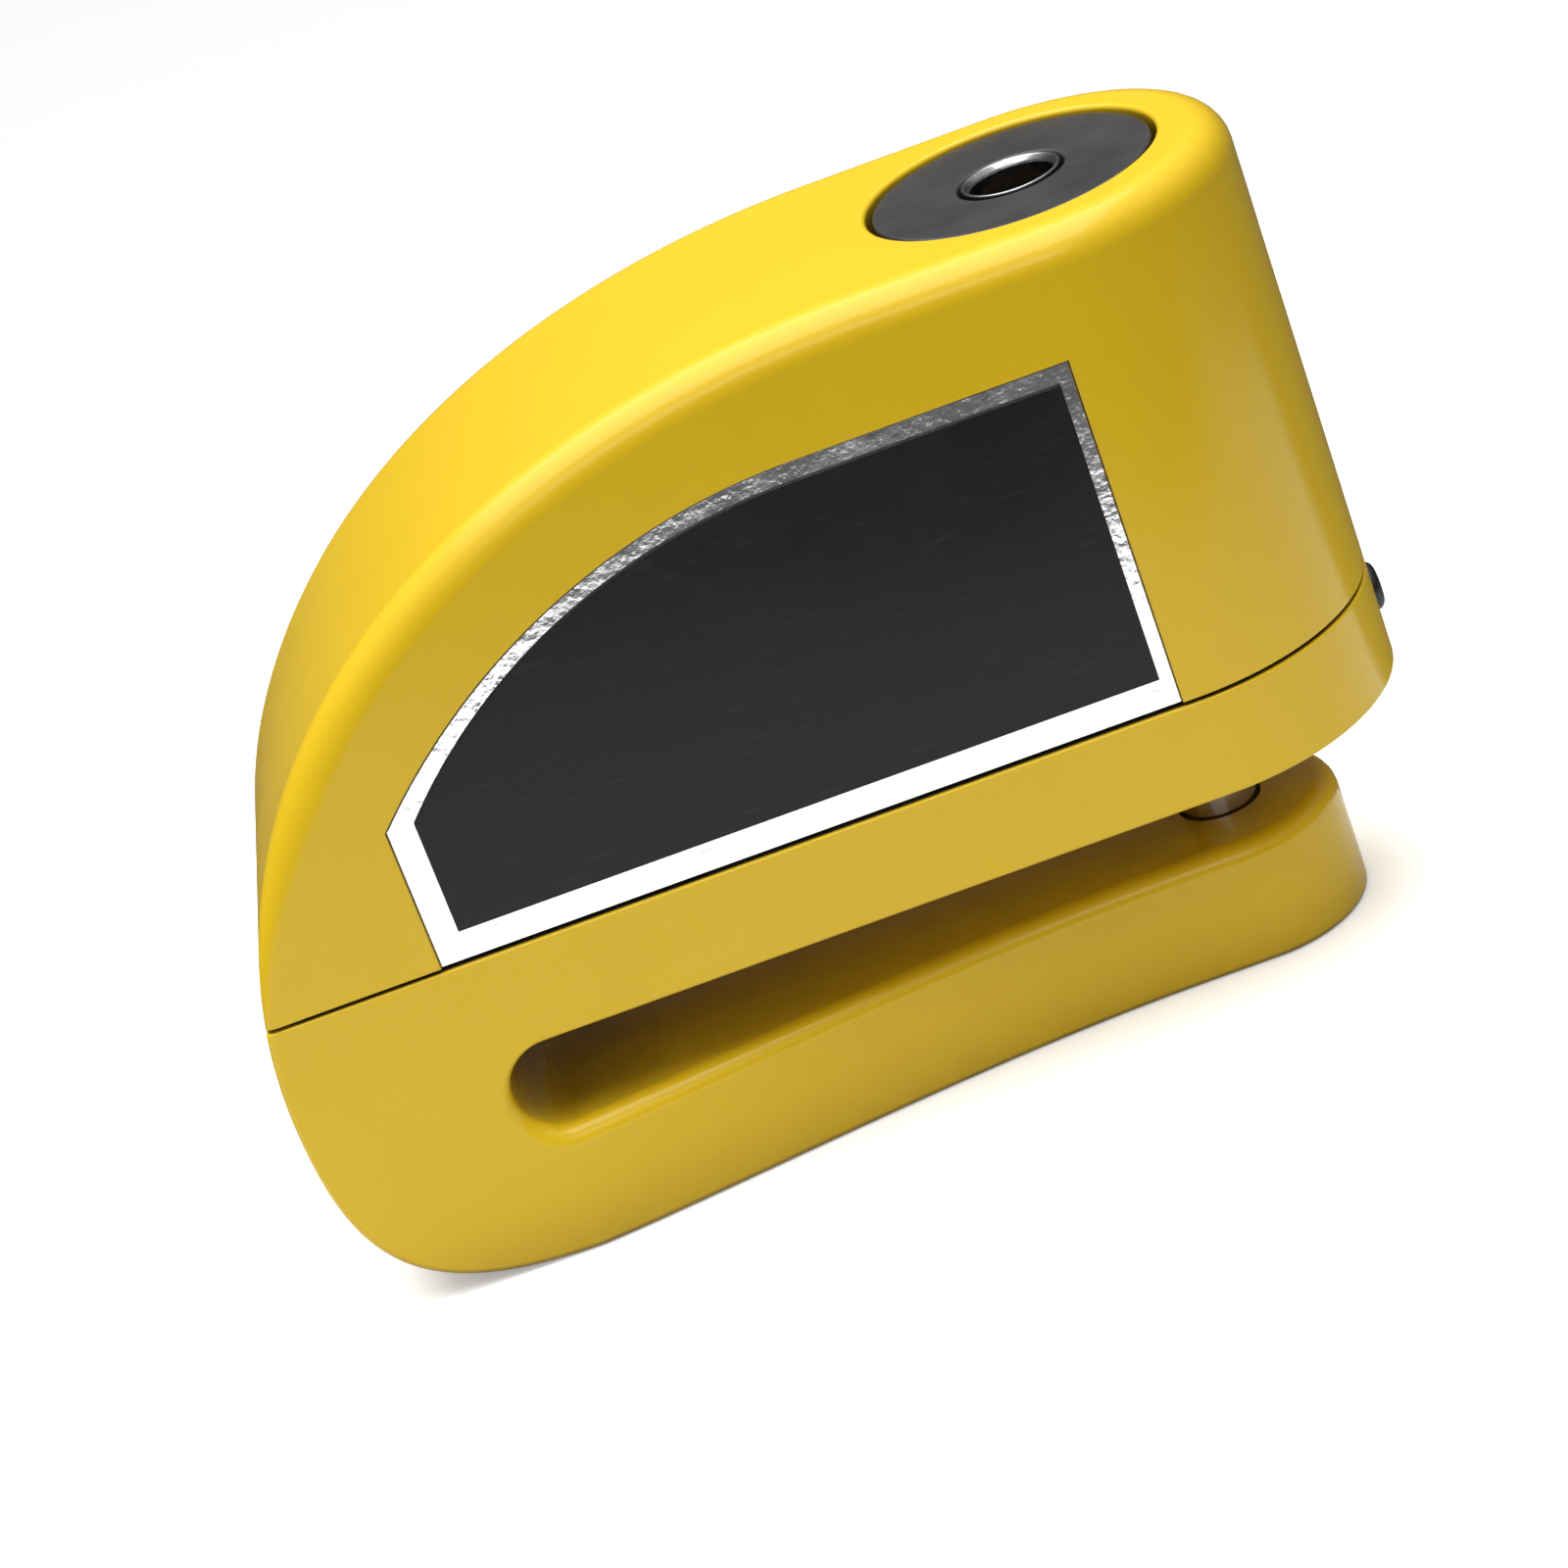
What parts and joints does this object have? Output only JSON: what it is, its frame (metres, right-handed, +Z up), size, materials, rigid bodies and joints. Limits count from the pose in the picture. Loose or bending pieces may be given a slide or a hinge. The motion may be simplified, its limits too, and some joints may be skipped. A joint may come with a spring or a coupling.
{
  "type": "disc brake lock",
  "caption": "Hand-sized motorcycle disc brake lock: a slotted cast body over a brake disc, a push-down keyed barrel whose pin crosses the slot, and a siren under the cover.",
  "frame": {"origin": "centre of the lock's footprint, on its flat underside", "axes": "+X from the nose towards the barrel end, +Y across the body, +Z up along the barrel's axis, from the jaw to the key head"},
  "size_m": [0.0896, 0.032, 0.0632],
  "materials": {
    "enamel": "glossy yellow enamel on a zinc casting",
    "satin_black": "satin black plating with fine turning marks",
    "chrome": "bright chrome",
    "bright_steel": "ground hardened steel",
    "steel": "plain plated steel",
    "dark_steel": "blackened steel",
    "zinc": "machined zinc alloy",
    "nickel": "nickel plate",
    "brass": "machined brass",
    "copper_coil": "enamelled copper winding",
    "label_foil": "bright silver label foil",
    "label_panel": "gloss black printed film, blank",
    "rubber": "matt black rubber",
    "siren_case": "moulded black plastic",
    "black_plastic": "moulded black plastic",
    "white_plastic": "off-white acetal",
    "circuit_board": "green solder mask on glass-epoxy board"
  },
  "bodies": {
    "body": {"base_casting": "enamel", "cover_shell": "enamel", "near_label_foil": "label_foil", "near_label_panel": "label_panel", "far_label_foil": "label_foil", "far_label_panel": "label_panel", "rim_seal": "rubber", "nose_cover_screw": "steel", "tail_cover_screw": "dark_steel", "barrel_stop_screw": "dark_steel", "return_spring": "bright_steel", "siren": "siren_case", "circuit_board": "circuit_board", "board_screw_front_left": "steel", "board_screw_front_right": "steel", "board_screw_rear_left": "steel", "board_screw_rear_right": "steel", "control_chip": "black_plastic", "vibration_sensor": "nickel", "boost_coil": "copper_coil", "battery_tray": "black_plastic", "front_contact": "nickel", "rear_contact": "nickel", "arming_switch": "black_plastic", "button_cell_1": "nickel", "button_cell_2": "nickel", "button_cell_3": "nickel", "button_cell_4": "nickel", "button_cell_5": "nickel", "button_cell_6": "nickel"},
    "barrel": {"barrel_housing": "zinc", "barrel_head": "satin_black", "head_o_ring": "rubber", "locking_pin": "bright_steel", "pin_dowel": "steel"},
    "plug": {"key_plug": "brass", "sidebar": "brass", "keyway_collar": "chrome", "latch_cam": "steel", "detainer_disc_1": "brass", "detainer_disc_2": "brass", "detainer_disc_3": "brass", "detainer_disc_4": "brass", "detainer_disc_5": "brass", "detainer_disc_6": "brass"},
    "latch": {"latch_bolt": "steel"},
    "plunger": {"switch_plunger": "white_plastic"}
  },
  "joints": [
    {"name": "barrel_slide", "type": "slide", "parent": "body", "child": "barrel", "axis": [0, 0, 1], "range_m": [0, 0.0102], "deforming": ["return_spring"]},
    {"name": "key_turn", "type": "hinge", "parent": "barrel", "child": "plug", "pos_m": [0.0282, 0, 0.05], "axis": [0, 0, 1], "range_deg": [0, 90]},
    {"name": "latch_slide", "type": "slide", "parent": "barrel", "child": "latch", "axis": [1, 0, 0], "range_m": [-0.002, 0]},
    {"name": "plunger_slide", "type": "slide", "parent": "body", "child": "plunger", "axis": [1, 0, 0], "range_m": [0, 0.001]}
  ],
  "couplings": [
    {"joint": "latch_slide", "follows": "key_turn", "m_per_rad": -0.00127},
    {"joint": "plunger_slide", "follows": "barrel_slide", "ratio": 0.098}
  ]
}
